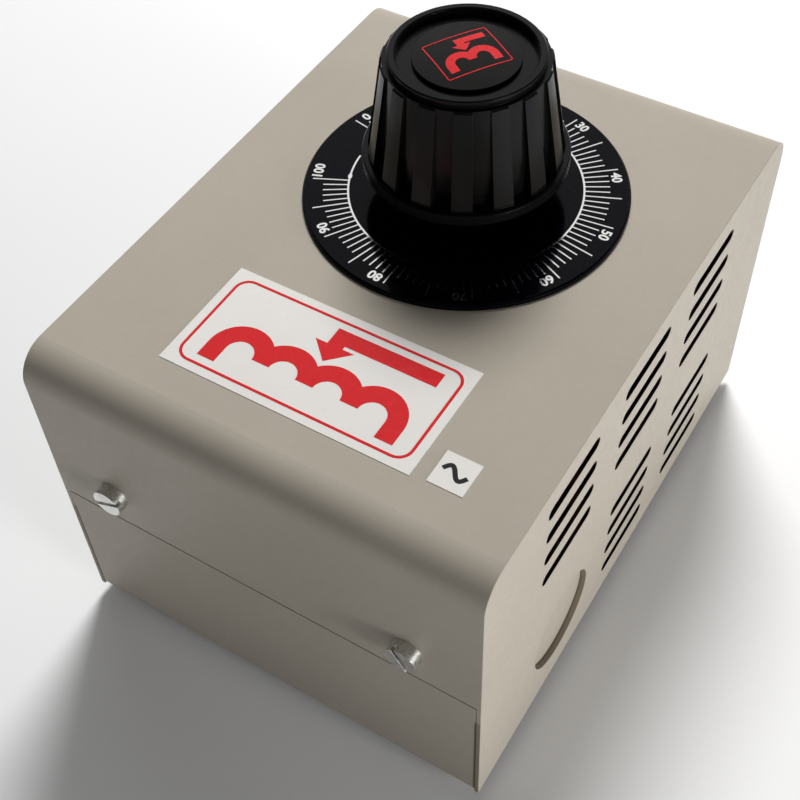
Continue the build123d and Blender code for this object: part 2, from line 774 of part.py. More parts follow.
# Moulded clamp: centres the winding, holds the upper bush, the collector and the stop post.
spigot_depth = 6.0
stop_seat_depth = 4.0
with BuildPart() as core_clamp:
    with BuildSketch(spindle_plane(clamp_bottom)):
        Circle(clamp_radius)
    extrude(amount=clamp_top - clamp_bottom)
    with BuildSketch(spindle_plane(clamp_bottom)):
        Circle(winding_inner - 0.3)
    extrude(amount=-spigot_depth)
    with BuildSketch(spindle_plane(clamp_top)):
        Circle(clamp_hub_radius)
    extrude(amount=clamp_hub_top - clamp_top)
    with BuildSketch(spindle_plane(clamp_hub_top)):
        Circle(bush_seat)
    extrude(amount=-(clamp_hub_top - clamp_bottom + spigot_depth), mode=Mode.SUBTRACT)
    with BuildSketch(Plane.XY.offset(clamp_top)):
        with Locations(*clamp_bolt_places):
            Circle(m4_hole)
    extrude(amount=-(clamp_top - clamp_bottom + spigot_depth), mode=Mode.SUBTRACT)
    with BuildSketch(turned_plane(clamp_top, gap_angle)):
        with Locations((stop_circle, 0)):
            Circle(stop_pin_radius + 0.02)
    extrude(amount=-stop_seat_depth, mode=Mode.SUBTRACT)
core_clamp.part.label = "core_clamp"
export_step(core_clamp.part, "parts/core_clamp.step")

bolt_head_height = 2.1
bolt_head_radius = 3.5
bolt_engagement = 9.0
with BuildPart() as clamp_bolts:
    with BuildSketch(Plane.XY.offset(clamp_top)):
        with Locations(*clamp_bolt_places):
            Circle(bolt_head_radius)
    extrude(amount=bolt_head_height)
    with BuildSketch(Plane.XY.offset(clamp_top)):
        with Locations(*clamp_bolt_places):
            Circle(m4_shank)
    extrude(amount=-(clamp_top - bolt_boss_top + bolt_engagement))
    with BuildSketch(Plane.XY.offset(clamp_top + bolt_head_height)):
        with Locations(*clamp_bolt_places):
            Rectangle(driver_slot_length, driver_slot_m4)
    extrude(amount=-1.0, mode=Mode.SUBTRACT)
clamp_bolts.part.label = "clamp_bolts"
export_step(clamp_bolts.part, "parts/clamp_bolts.step")

# ---------------------------------------------------------------- pick-off gear
output_lead_y = spindle_y - 8.0
tab_x = -13.0
tab_angle = degrees(atan2(output_lead_y - spindle_y, tab_x))
tab_thickness = 0.2
tab_length = 3.5
tab_width = 4.0
collector_outer = 13.8
collector_top = clamp_top + collector_height
with BuildPart() as collector_ring:
    with BuildSketch(spindle_plane(clamp_top)):
        Circle(collector_outer)
        Circle(clamp_hub_radius + 0.02, mode=Mode.SUBTRACT)
    extrude(amount=collector_height)
    with BuildSketch(turned_plane(clamp_top, tab_angle)):
        with Locations((collector_outer + 1.0, 0)):
            Rectangle(tab_length, tab_width)
    extrude(amount=tab_thickness)
collector_ring.part.label = "collector_ring"
export_step(collector_ring.part, "parts/collector_ring.step")

stop_top = arm_bottom + arm_thickness + 1.0
with BuildPart() as stop_post:
    with BuildSketch(turned_plane(clamp_top - stop_seat_depth, gap_angle)):
        with Locations((stop_circle, 0)):
            Circle(stop_pin_radius)
    extrude(amount=stop_top - clamp_top + stop_seat_depth)
stop_post.part.label = "stop_post"
export_step(stop_post.part, "parts/stop_post.step")

with BuildPart() as stop_sleeve:
    with BuildSketch(turned_plane(clamp_top, gap_angle)):
        with Locations((stop_circle, 0)):
            Circle(stop_sleeve_radius)
            Circle(stop_pin_radius, mode=Mode.SUBTRACT)
    extrude(amount=stop_top - clamp_top)
stop_sleeve.part.label = "stop_sleeve"
export_step(stop_sleeve.part, "parts/stop_sleeve.step")

# Arm: hub on the shaft, narrow neck that meets the stop, wide pad that cools the brush.
holder_inner_width = brush_width + 2 * holder_clearance
holder_inner_length = brush_length + 2 * holder_clearance
holder_width = holder_inner_width + 2 * holder_wall
holder_length = holder_inner_length + 2 * holder_wall
insulator_wall = 1.0
insulator_width = holder_width + 2 * insulator_wall
insulator_length = holder_length + 2 * insulator_wall
arm_top = arm_bottom + arm_thickness
arm_hub_bottom = clamp_hub_top + 3.0
arm_hub_top = 76.0
arm_hub_radius = 8.5
arm_grub_z = 72.5
arm_grub_hole = 2.0
arm_grub_length = 4.2
pad_start = 30.5
pad_corner = 3.0
with BuildPart() as brush_arm:
    with BuildSketch(turned_plane(arm_bottom, index_angle)):
        Circle(arm_hub_radius + 1.0)
        with Locations((pad_start / 2, 0)):
            Rectangle(pad_start + 1.0, 2 * arm_half_width)
        with Locations(((pad_start + arm_reach) / 2, 0)):
            RectangleRounded(arm_reach - pad_start, arm_pad_width, pad_corner)
        with Locations((brush_circle, 0)):
            Rectangle(insulator_length, insulator_width, mode=Mode.SUBTRACT)
    extrude(amount=arm_thickness)
    with BuildSketch(spindle_plane(arm_hub_bottom)):
        Circle(arm_hub_radius)
    extrude(amount=arm_hub_top - arm_hub_bottom)
    with BuildSketch(spindle_plane(arm_hub_bottom)):
        Circle(shaft_radius + 0.02)
    extrude(amount=arm_hub_top - arm_hub_bottom, mode=Mode.SUBTRACT)
    arm_grub_plane = Plane(
        origin=(0, spindle_y, arm_grub_z),
        z_dir=(-cos(radians(index_angle)), -sin(radians(index_angle)), 0),
    )
    with BuildSketch(arm_grub_plane):
        Circle(arm_grub_hole)
    extrude(amount=arm_hub_radius + 1, mode=Mode.SUBTRACT)
brush_arm.part.label = "brush_arm"
export_step(brush_arm.part, "parts/brush_arm.step")

with BuildPart() as arm_grub_screw:
    with BuildSketch(arm_grub_plane.offset(shaft_radius + 0.1)):
        Circle(arm_grub_hole - 0.1)
    extrude(amount=arm_grub_length)
    with BuildSketch(arm_grub_plane.offset(shaft_radius + 0.1 + arm_grub_length)):
        RegularPolygon(hex_key, 6)
    extrude(amount=-hex_key_depth, mode=Mode.SUBTRACT)
arm_grub_screw.part.label = "arm_grub_screw"
export_step(arm_grub_screw.part, "parts/arm_grub_screw.step")

flange_overhang = 2.0
flange_thickness = 0.8
with BuildPart() as holder_insulator:
    with BuildSketch(turned_plane(arm_bottom, index_angle)):
        with Locations((brush_circle, 0)):
            Rectangle(insulator_length, insulator_width)
    extrude(amount=arm_thickness)
    with BuildSketch(turned_plane(arm_top, index_angle)):
        with Locations((brush_circle, 0)):
            Rectangle(insulator_length + flange_overhang, insulator_width + 2 * flange_overhang)
    extrude(amount=flange_thickness)
    with BuildSketch(turned_plane(arm_bottom, index_angle)):
        with Locations((brush_circle, 0)):
            Rectangle(holder_length, holder_width)
    extrude(amount=arm_thickness + flange_thickness, mode=Mode.SUBTRACT)
holder_insulator.part.label = "holder_insulator"
export_step(holder_insulator.part, "parts/holder_insulator.step")

holder_bottom = winding_top + 3.0
with BuildPart() as brush_holder:
    with BuildSketch(turned_plane(holder_bottom, index_angle)):
        with Locations((brush_circle, 0)):
            Rectangle(holder_length, holder_width)
    extrude(amount=holder_top - holder_bottom)
    with BuildSketch(turned_plane(arm_top + flange_thickness, index_angle)):
        with Locations((brush_circle, 0)):
            Rectangle(holder_length + flange_overhang, holder_width + 2 * flange_overhang)
    extrude(amount=flange_thickness)
    with BuildSketch(turned_plane(holder_bottom, index_angle)):
        with Locations((brush_circle, 0)):
            Rectangle(holder_inner_length, holder_inner_width)
    extrude(amount=holder_top - holder_bottom, mode=Mode.SUBTRACT)
brush_holder.part.label = "brush_holder"
export_step(brush_holder.part, "parts/brush_holder.step")

brush_bottom = winding_top + brush_gap
brush_top = brush_bottom + brush_height
with BuildPart() as carbon_brush:
    with BuildSketch(turned_plane(brush_bottom, index_angle)):
        with Locations((brush_circle, 0)):
            Rectangle(brush_length, brush_width)
    extrude(amount=brush_height)
    chamfer(carbon_brush.edges().group_by(Axis.Z)[0], 0.4)
carbon_brush.part.label = "carbon_brush"
export_step(carbon_brush.part, "parts/carbon_brush.step")

spring_wire = 0.3
spring_radius = 1.9
spring_pitch = 1.4
cap_plug = 1.0
cap_cover = 1.5
spring_bottom = brush_top + spring_wire + 0.05
spring_top = holder_top - cap_plug - spring_wire - 0.05
spring_centre = around_spindle(brush_circle, index_angle, spring_bottom)
with BuildPart() as brush_spring:
    with BuildLine() as spring_path:
        Helix(spring_pitch, spring_top - spring_bottom, spring_radius, center=spring_centre)
    with BuildSketch(Plane(origin=spring_path.line @ 0, z_dir=spring_path.line % 0)):
        Circle(spring_wire)
    sweep(path=spring_path.line)
brush_spring.part.label = "brush_spring"
export_step(brush_spring.part, "parts/brush_spring.step")

with BuildPart() as brush_cap:
    with BuildSketch(turned_plane(holder_top, index_angle)):
        with Locations((brush_circle, 0)):
            Rectangle(holder_length, holder_width)
    extrude(amount=cap_cover)
    with BuildSketch(turned_plane(holder_top, index_angle)):
        with Locations((brush_circle, 0)):
            Rectangle(brush_length, brush_width)
    extrude(amount=-cap_plug)
brush_cap.part.label = "brush_cap"
export_step(brush_cap.part, "parts/brush_cap.step")

# Springy leaf that carries the current from the holder to the collector.
leaf_thickness = 0.3
leaf_contact = collector_top + 0.06
leaf_rise = 4.5
leaf_outer = brush_circle - holder_length / 2
leaf_half_width = 2.0
leaf_tip = 10.8
leaf_curl = 0.5
leaf_touch = 12.0
leaf_heel = 13.2
with BuildPart() as collector_leaf:
    with BuildSketch(radial_plane(index_angle)):
        with BuildLine():
            Polyline(
                (leaf_tip, leaf_contact + leaf_curl),
                (leaf_touch, leaf_contact),
                (leaf_heel, leaf_contact + 0.1),
                (leaf_outer, leaf_contact + leaf_rise),
                (leaf_outer, leaf_contact + leaf_rise + leaf_thickness),
                (leaf_heel - 0.2, leaf_contact + 0.1 + leaf_thickness),
                (leaf_touch, leaf_contact + leaf_thickness),
                (leaf_tip, leaf_contact + leaf_curl + leaf_thickness),
                close=True,
            )
        make_face()
    extrude(amount=leaf_half_width, both=True)
collector_leaf.part.label = "collector_leaf"
export_step(collector_leaf.part, "parts/collector_leaf.step")

# ---------------------------------------------------------------- wiring
block_width = 56.0
block_depth = 20.0
block_height = 16.0
block_rear = terminal_y + block_depth / 2
wire_hole_depth = 8.0
block_corner = 1.5
block_screw_hole = 1.6
block_counterbore = 3.0
block_head_depth = 8.0
block_head_radius = 2.8
block_head_height = 2.0
terminal_screw_radius = 2.0
terminal_screw_height = 5.0
terminal_tapping_depth = 7.0
terminal_slot_length = 5.0
with BuildPart() as terminal_block:
    with BuildSketch(upright_plane(0, terminal_y, floor_top)):
        Rectangle(block_width, block_depth)
    extrude(amount=block_height)
    fillet(terminal_block.edges().filter_by(Axis.Z), block_corner)
    for rear_side in (1, -1):
        entry = Plane(
            origin=(0, terminal_y + rear_side * block_depth / 2, terminal_wire_z),
            x_dir=(-rear_side, 0, 0),
            z_dir=(0, rear_side, 0),
        )
        with BuildSketch(entry):
            with Locations(*[(x, 0) for x, _ in terminal_places]):
                Circle(lead_radius + 0.5)
        extrude(amount=-wire_hole_depth, mode=Mode.SUBTRACT)
    with BuildSketch(Plane.XY.offset(floor_top + block_height)):
        with Locations(*terminal_places):
            Circle(terminal_screw_radius + 0.1)
    extrude(amount=-terminal_tapping_depth, mode=Mode.SUBTRACT)
    with BuildSketch(Plane.XY.offset(floor_top)):
        with Locations(*block_screw_places):
            Circle(block_screw_hole)
    extrude(amount=block_height, mode=Mode.SUBTRACT)
    with BuildSketch(Plane.XY.offset(floor_top + block_height)):
        with Locations(*block_screw_places):
            Circle(block_counterbore)
    extrude(amount=-block_head_depth, mode=Mode.SUBTRACT)
terminal_block.part.label = "terminal_block"
export_step(terminal_block.part, "parts/terminal_block.step")

terminal_screw_bottom = floor_top + block_height - terminal_tapping_depth + 0.2
with BuildPart() as terminal_screws:
    with BuildSketch(Plane.XY.offset(terminal_screw_bottom)):
        with Locations(*terminal_places):
            Circle(terminal_screw_radius)
    extrude(amount=terminal_screw_height)
    with BuildSketch(Plane.XY.offset(terminal_screw_bottom + terminal_screw_height)):
        with Locations(*terminal_places):
            Rectangle(terminal_slot_length, driver_slot_m3)
    extrude(amount=-1.0, mode=Mode.SUBTRACT)
terminal_screws.part.label = "terminal_screws"
export_step(terminal_screws.part, "parts/terminal_screws.step")

block_head_z = floor_top + block_height - block_head_depth
with BuildPart() as block_screws:
    with BuildSketch(Plane.XY.offset(block_head_z)):
        with Locations(*block_screw_places):
            Circle(block_head_radius)
    extrude(amount=block_head_height)
    with BuildSketch(Plane.XY.offset(block_head_z)):
        with Locations(*block_screw_places):
            Circle(m3_shank)
    extrude(amount=-(block_head_z - case_bottom + m3_nut_height + 0.2))
    with BuildSketch(Plane.XY.offset(block_head_z + block_head_height)):
        with Locations(*block_screw_places):
            Rectangle(driver_slot_length, driver_slot_m3)
    extrude(amount=-1.0, mode=Mode.SUBTRACT)
block_screws.part.label = "block_screws"
export_step(block_screws.part, "parts/block_screws.step")

with BuildPart() as block_nuts:
    with BuildSketch(Plane.XY.offset(case_bottom)):
        with Locations(*block_screw_places):
            RegularPolygon(m3_nut_half_flats, 6, major_radius=False)
            Circle(m3_tapping, mode=Mode.SUBTRACT)
    extrude(amount=-m3_nut_height)
block_nuts.part.label = "block_nuts"
export_step(block_nuts.part, "parts/block_nuts.step")

stud_head_radius = 3.8
stud_head_height = 1.0
stud_length = 14.0
with BuildPart() as earth_stud:
    with BuildSketch(upright_plane(earth_x, earth_y, case_bottom)):
        Circle(stud_head_radius)
    extrude(amount=-stud_head_height)
    with BuildSketch(upright_plane(earth_x, earth_y, case_bottom)):
        Circle(m5_shank)
    extrude(amount=stud_length)
    chamfer(earth_stud.edges().group_by(Axis.Z)[-1], 0.5)
earth_stud.part.label = "earth_stud"
export_step(earth_stud.part, "parts/earth_stud.step")

# Ring tag under the earth nut, with a barrel that takes the earth lead.
tag_thickness = 0.8
barrel_y = earth_y + 8.0
barrel_z = floor_top + 2.0
barrel_radius = 1.9
barrel_length = 5.0
tag_radius = 5.0
tag_width = 4.0
with BuildPart() as earth_tag:
    with BuildSketch(upright_plane(earth_x, earth_y, floor_top)):
        Circle(tag_radius)
        with Locations((0, (barrel_y - earth_y + 1.0) / 2)):
            Rectangle(tag_width, barrel_y - earth_y + 1.0)
        Circle(m5_tapping, mode=Mode.SUBTRACT)
    extrude(amount=tag_thickness)
    with BuildSketch(Plane(origin=(earth_x, barrel_y, barrel_z), x_dir=(-1, 0, 0), z_dir=(0, 1, 0))):
        Circle(barrel_radius)
    extrude(amount=barrel_length)
    with BuildSketch(Plane(origin=(earth_x, barrel_y, barrel_z), x_dir=(-1, 0, 0), z_dir=(0, 1, 0))):
        Circle(lead_radius + 0.05)
    extrude(amount=barrel_length, mode=Mode.SUBTRACT)
earth_tag.part.label = "earth_tag"
export_step(earth_tag.part, "parts/earth_tag.step")

with BuildPart() as earth_nut:
    with BuildSketch(upright_plane(earth_x, earth_y, floor_top + tag_thickness)):
        RegularPolygon(m5_nut_half_flats, 6, major_radius=False)
        Circle(m5_tapping, mode=Mode.SUBTRACT)
    extrude(amount=m5_nut_height)
earth_nut.part.label = "earth_nut"
export_step(earth_nut.part, "parts/earth_nut.step")

# Leads: straight runs joined by tangent arcs, along the floor and up the left-hand wall.
lane_x = -58.6
lead_start_y = block_rear - 5.0
lead_bend = 3.2
winding_tap_z = winding_bottom + 30.0
live_tap_y = spindle_y + 10.0
neutral_tap_y = spindle_y - 23.0
output_z = clamp_top + tab_thickness + lead_radius + 0.05
tap_gap = 1.0


def winding_side_x(y):
    """Where the winding's outside lies at a depth, on the left-hand side."""
    return -((winding_outer**2 - (y - spindle_y) ** 2) ** 0.5)


def lead_route(terminal, turn_y, lane_z, tap_y, end_x, end_z):
    """From a terminal along the floor to the left-hand wall, back to the tap, up and in."""
    return [
        (terminal, lead_start_y, terminal_wire_z),
        (terminal, turn_y, terminal_wire_z),
        (-48.0, turn_y, lane_z),
        (lane_x, -30.0, lane_z),
        (lane_x, tap_y, lane_z),
        (lane_x, tap_y, end_z),
        (end_x, tap_y, end_z),
    ]


live_route = lead_route(
    terminal_places[0][0], -44.5, 11.5, live_tap_y, winding_side_x(live_tap_y) - tap_gap, winding_tap_z
)
neutral_route = lead_route(
    terminal_places[1][0], -41.2, 18.5, neutral_tap_y, winding_side_x(neutral_tap_y) - tap_gap, winding_tap_z
)
output_route = lead_route(terminal_places[2][0], -37.9, 15.0, output_lead_y, tab_x, output_z)
earth_route = [
    (terminal_places[3][0], lead_start_y, terminal_wire_z),
    (terminal_places[3][0], -39.0, terminal_wire_z),
    (earth_x, -39.0, barrel_z),
    (earth_x, barrel_y + 1.0, barrel_z),
]

with BuildPart() as live_lead:
    with BuildLine() as live_path:
        FilletPolyline(*live_route, radius=lead_bend)
    with BuildSketch(Plane(origin=live_route[0], z_dir=(0, 1, 0))):
        Circle(lead_radius)
    sweep(path=live_path.line)
live_lead.part.label = "live_lead"
export_step(live_lead.part, "parts/live_lead.step")

with BuildPart() as neutral_lead:
    with BuildLine() as neutral_path:
        FilletPolyline(*neutral_route, radius=lead_bend)
    with BuildSketch(Plane(origin=neutral_route[0], z_dir=(0, 1, 0))):
        Circle(lead_radius)
    sweep(path=neutral_path.line)
neutral_lead.part.label = "neutral_lead"
export_step(neutral_lead.part, "parts/neutral_lead.step")

with BuildPart() as output_lead:
    with BuildLine() as output_path:
        FilletPolyline(*output_route, radius=lead_bend)
    with BuildSketch(Plane(origin=output_route[0], z_dir=(0, 1, 0))):
        Circle(lead_radius)
    sweep(path=output_path.line)
output_lead.part.label = "output_lead"
export_step(output_lead.part, "parts/output_lead.step")

with BuildPart() as earth_lead:
    with BuildLine() as earth_path:
        FilletPolyline(*earth_route, radius=lead_bend)
    with BuildSketch(Plane(origin=earth_route[0], z_dir=(0, 1, 0))):
        Circle(lead_radius)
    sweep(path=earth_path.line)
earth_lead.part.label = "earth_lead"
export_step(earth_lead.part, "parts/earth_lead.step")
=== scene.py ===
import json
import math

import bmesh
import bpy
from mathutils import Matrix, Vector


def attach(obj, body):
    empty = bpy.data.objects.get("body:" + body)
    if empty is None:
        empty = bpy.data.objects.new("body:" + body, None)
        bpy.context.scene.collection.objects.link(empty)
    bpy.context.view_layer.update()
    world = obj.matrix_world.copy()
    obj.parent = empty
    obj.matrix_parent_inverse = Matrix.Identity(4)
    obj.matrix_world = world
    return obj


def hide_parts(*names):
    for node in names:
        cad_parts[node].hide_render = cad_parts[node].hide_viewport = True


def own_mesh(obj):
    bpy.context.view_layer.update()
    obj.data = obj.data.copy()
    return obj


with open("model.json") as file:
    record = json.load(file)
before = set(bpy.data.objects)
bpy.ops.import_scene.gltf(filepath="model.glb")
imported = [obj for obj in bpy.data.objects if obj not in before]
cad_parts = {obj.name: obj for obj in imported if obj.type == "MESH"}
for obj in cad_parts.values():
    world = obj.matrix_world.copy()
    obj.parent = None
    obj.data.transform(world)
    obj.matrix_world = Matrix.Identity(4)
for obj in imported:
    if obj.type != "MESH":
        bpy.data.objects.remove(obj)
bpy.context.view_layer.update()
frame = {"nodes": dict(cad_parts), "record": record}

MM = 0.001

# ---------------------------------------------------------------- camera
# Where the camera stands, in millimetres, and how it is turned, in degrees.
CAMERA_PLACE = (126.9, -206.0, 337.9)
CAMERA_AZIMUTH = 33.71
CAMERA_ELEVATION = 50.99
CAMERA_ROLL = -2.89
CAMERA_LENS = 59.5


def make_camera():
    azimuth = math.radians(CAMERA_AZIMUTH)
    elevation = math.radians(CAMERA_ELEVATION)
    roll = math.radians(CAMERA_ROLL)
    back = Vector(
        (
            math.sin(azimuth) * math.cos(elevation),
            -math.cos(azimuth) * math.cos(elevation),
            math.sin(elevation),
        )
    )
    level_right = Vector((math.cos(azimuth), math.sin(azimuth), 0))
    level_up = back.cross(level_right)
    right = level_right * math.cos(roll) + level_up * math.sin(roll)
    up = level_up * math.cos(roll) - level_right * math.sin(roll)
    data = bpy.data.cameras.new("camera")
    data.lens = CAMERA_LENS
    data.sensor_width = 36.0
    data.clip_start = 0.01
    data.clip_end = 20.0
    camera = bpy.data.objects.new("camera", data)
    bpy.context.scene.collection.objects.link(camera)
    turn = Matrix((right, up, back)).transposed().to_4x4()
    camera.matrix_world = Matrix.Translation(Vector(CAMERA_PLACE) * MM) @ turn
    bpy.context.scene.camera = camera


make_camera()

# ---------------------------------------------------------------- sizes that the print follows
SPINDLE = (0.0, 20.0)
DIAL_TOP = 105.5
CAP_RADIUS = 13.2
CAP_CROWN = 0.9
CAP_TOP = 147.5
LABEL_TOP = 104.15
LABEL_CENTRE = (0.0, -48.8)
SYMBOL_CENTRE = (42.9, -60.0)
CAP_ANGLE = 57.7
INK_THICKNESS = 0.04
CAP_INK_THICKNESS = 0.06

# Where surfaces change their look, each as the pair of distances between which the look fades over.
# Those of the panel, sheet, recess and slots are on the case, and those of the track are on the winding.
# On the case, the recess and slot edges bound painted shade: a darker recess side and dark vent slots.
PANEL_SKIN = (63.40, 63.47)
SHEET_INSIDE = (62.2, 62.3)
RECESS_FLOOR = (61.72, 61.80)
RECESS_SHADE = (61.8, 62.5)
RECESS_TOP = (44.0, 44.5)
RECESS_REAR = (-23.5, -23.0)
SLOTS_TOP = (95.5, 96.0)
SLOTS_END = (60.0, 61.0)
TRACK_INSIDE = (35.8, 36.3)
TRACK_OUTSIDE = (47.7, 48.2)
TRACK_LEVEL = 51.9
STRIP_THICKNESS = 0.3


# ---------------------------------------------------------------- materials
def tone(red, green, blue):
    """A display colour, 0 to 255, as the linear colour that shaders take."""
    linear = []
    for value in (red, green, blue):
        share = value / 255
        linear.append(share / 12.92 if share <= 0.04045 else ((share + 0.055) / 1.055) ** 2.4)
    return (*linear, 1.0)


def scaled(colour, factor):
    return (*(min(1.0, value * factor) for value in colour[:3]), 1.0)


class Finish:
    """A Principled material, with short ways to add the nodes that vary it."""

    def __init__(self, name, colour, metallic=0.0, roughness=0.5, **sockets):
        self.material = bpy.data.materials.new(name)
        self.material.use_nodes = True
        self.tree = self.material.node_tree
        self.shader = self.tree.nodes["Principled BSDF"]
        self.shader.inputs["Base Color"].default_value = colour
        self.shader.inputs["Metallic"].default_value = metallic
        self.shader.inputs["Roughness"].default_value = roughness
        for key, value in sockets.items():
            self.shader.inputs[key.replace("_", " ")].default_value = value
        self.place = self.add("TexCoord").outputs["Object"]
        self.colour = colour
        self.height = None

    def add(self, kind, inputs=None, **settings):
        node = self.tree.nodes.new("ShaderNode" + kind)
        for key, value in settings.items():
            setattr(node, key, value)
        for key, value in (inputs or {}).items():
            self.feed(node.inputs[key], value)
        return node

    def feed(self, socket, value):
        if isinstance(value, bpy.types.NodeSocket):
            self.tree.links.new(value, socket)
        else:
            socket.default_value = value

    def maths(self, operation, first, second=0.0):
        return self.add("Math", {0: first, 1: second}, operation=operation).outputs[0]

    def noise(self, scale, detail=2.0, stretch=None):
        place = self.place
        if stretch:
            place = self.add("Mapping", {"Vector": place, "Scale": stretch}).outputs[0]
        return self.add("TexNoise", {"Vector": place, "Scale": scale, "Detail": detail}).outputs[0]

    def spread(self, value, low, high, from_low=0.3, from_high=0.7):
        inputs = {0: value, 1: from_low, 2: from_high, 3: low, 4: high}
        return self.add("MapRange", inputs, clamp=True).outputs[0]

    def blend(self, factor, first, second):
        inputs = {0: factor, 6: first, 7: second}
        return self.add("Mix", inputs, data_type="RGBA").outputs[2]

    def paint(self, factor, other):
        """Mixes another colour over the present one."""
        self.colour = self.blend(factor, self.colour, other)
        self.feed(self.shader.inputs["Base Color"], self.colour)
        return self

    def mottle(self, scale, amount):
        """Slight patches of a darker shade."""
        base = self.shader.inputs["Base Color"].default_value
        patches = self.spread(self.noise(scale, 3.0), 0.0, 1.0)
        return self.paint(patches, scaled(base, 1.0 - amount))

    def polish(self, scale, low, high):
        """Roughness that varies between two values."""
        value = self.spread(self.noise(scale, 3.0), low, high)
        self.feed(self.shader.inputs["Roughness"], value)
        return self

    def relief(self, height, strength, distance):
        """Adds a bump. Heights stack up on each other."""
        inputs = {"Height": height, "Strength": strength, "Distance": distance}
        if self.height:
            inputs["Normal"] = self.height
        self.height = self.add("Bump", inputs).outputs[0]
        self.feed(self.shader.inputs["Normal"], self.height)
        return self

    def rounded(self, radius):
        """Softens sharp edges by a small radius. It comes before any relief."""
        self.height = self.add("Bevel", {"Radius": radius}, samples=4).outputs[0]
        self.feed(self.shader.inputs["Normal"], self.height)
        return self

    def beyond(self, value, edge):
        """A mask that is 1 past an edge, given as a pair of distances in millimetres, and 0 before it."""
        return self.spread(value, 0.0, 1.0, edge[0] * MM, edge[1] * MM)

    def short_of(self, value, edge):
        """A mask that is 1 before an edge and 0 past it."""
        return self.spread(value, 1.0, 0.0, edge[0] * MM, edge[1] * MM)

    def edges(self, radius, grain):
        """A mask that is 1 on outer edges, broken up by a noise, and 0 on flats."""
        soft = self.add("Bevel", {"Radius": radius}, samples=4).outputs[0]
        true = self.add("NewGeometry").outputs["Normal"]
        dot = self.add("VectorMath", {0: soft, 1: true}, operation="DOT_PRODUCT").outputs["Value"]
        edge = self.spread(dot, 1.0, 0.0, 0.80, 0.97)
        return self.maths("MULTIPLY", edge, self.spread(self.noise(grain, 3.0), 0.0, 1.0, 0.42, 0.62))

    def radius_from(self, centre):
        """Distance from an upright axis, in metres."""
        moved = self.add("VectorMath", {0: self.place, 1: centre}, operation="SUBTRACT").outputs[0]
        flat = self.add("VectorMath", {0: moved, 1: (1, 1, 0)}, operation="MULTIPLY").outputs[0]
        return self.add("VectorMath", {0: flat}, operation="LENGTH").outputs["Value"]

    def height_above(self, level):
        parts = self.add("SeparateXYZ", {0: self.place})
        return self.maths("SUBTRACT", parts.outputs["Z"], level)


SPINDLE_AXIS = (SPINDLE[0] * MM, SPINDLE[1] * MM, 0.0)


def painted_case():
    """Beige-grey powder coat with a fine orange peel and faintly rubbed edges, with painted shade in the
    side recess and in the vent slots.
    """
    paint = Finish("case_paint", tone(172, 164, 151), roughness=0.5, Specular_IOR_Level=0.4)
    paint.mottle(38.0, 0.05)
    speck = paint.spread(paint.noise(2600.0, 1.0), 0.0, 1.0, 0.35, 0.65)
    paint.paint(paint.maths("MULTIPLY", speck, 0.22), tone(158, 149, 134))
    paint.paint(paint.maths("MULTIPLY", paint.edges(0.5 * MM, 260.0), 0.35), tone(205, 198, 186))
    # Painted shade: the side of the recess is painted a darker brown, which deepens towards the recess
    # floor.
    place = paint.add("SeparateXYZ", {0: paint.place})
    across = paint.maths("ABSOLUTE", place.outputs["X"])
    below = paint.short_of(across, PANEL_SKIN)
    low_down = paint.short_of(place.outputs["Z"], RECESS_TOP)
    forward = paint.short_of(place.outputs["Y"], RECESS_REAR)
    recess = paint.maths("MULTIPLY", low_down, forward)
    above_floor = paint.beyond(across, RECESS_FLOOR)
    wall = paint.maths("MULTIPLY", recess, paint.maths("MULTIPLY", below, above_floor))
    shade = paint.short_of(across, RECESS_SHADE)
    paint.paint(wall, paint.blend(shade, tone(136, 125, 108), tone(92, 82, 68)))
    # Painted shade: the cut sides of the vent slots, outside the recess, are painted a dark brown.
    flats = paint.short_of(place.outputs["Z"], SLOTS_TOP)
    depth = paint.short_of(paint.maths("ABSOLUTE", place.outputs["Y"]), SLOTS_END)
    in_sheet = paint.maths("MULTIPLY", below, paint.beyond(across, SHEET_INSIDE))
    slots = paint.maths("MULTIPLY", in_sheet, paint.maths("MULTIPLY", flats, depth))
    paint.paint(paint.maths("MULTIPLY", slots, paint.maths("SUBTRACT", 1.0, recess)), tone(45, 37, 31))
    paint.polish(420.0, 0.42, 0.58)
    paint.rounded(0.35 * MM)
    paint.relief(paint.noise(1150.0, 2.0), 0.32, 0.05 * MM)
    paint.relief(paint.noise(90.0, 1.0), 0.12, 0.12 * MM)
    return paint


def plated(name, colour, low, high):
    """Plated or machined metal: fine tool marks, slight clouding."""
    metal = Finish(name, colour, metallic=1.0)
    metal.mottle(160.0, 0.22)
    metal.polish(700.0, low, high)
    metal.rounded(0.15 * MM)
    metal.relief(metal.noise(3200.0, 2.0), 0.20, 0.02 * MM)
    return metal


def turned(name, colour, low, high):
    """Metal turned or ground about the spindle, with rings round it."""
    metal = Finish(name, colour, metallic=1.0)
    metal.mottle(120.0, 0.15)
    metal.polish(500.0, low, high)
    metal.rounded(0.12 * MM)
    metal.relief(metal.noise(900.0, 2.0, stretch=(0.08, 0.08, 6.0)), 0.25, 0.02 * MM)
    return metal


def moulded(name, colour, low, high, relief=0.15, wear=None, specular=0.5):
    """Moulded plastic with a fine spark-eroded grain."""
    plastic = Finish(name, colour, Specular_IOR_Level=specular)
    plastic.mottle(85.0, 0.18)
    if wear:
        plastic.paint(plastic.maths("MULTIPLY", plastic.edges(0.25 * MM, 420.0), 0.5), wear)
    plastic.polish(600.0, low, high)
    plastic.rounded(0.12 * MM)
    plastic.relief(plastic.noise(2400.0, 2.0), relief, 0.02 * MM)
    return plastic


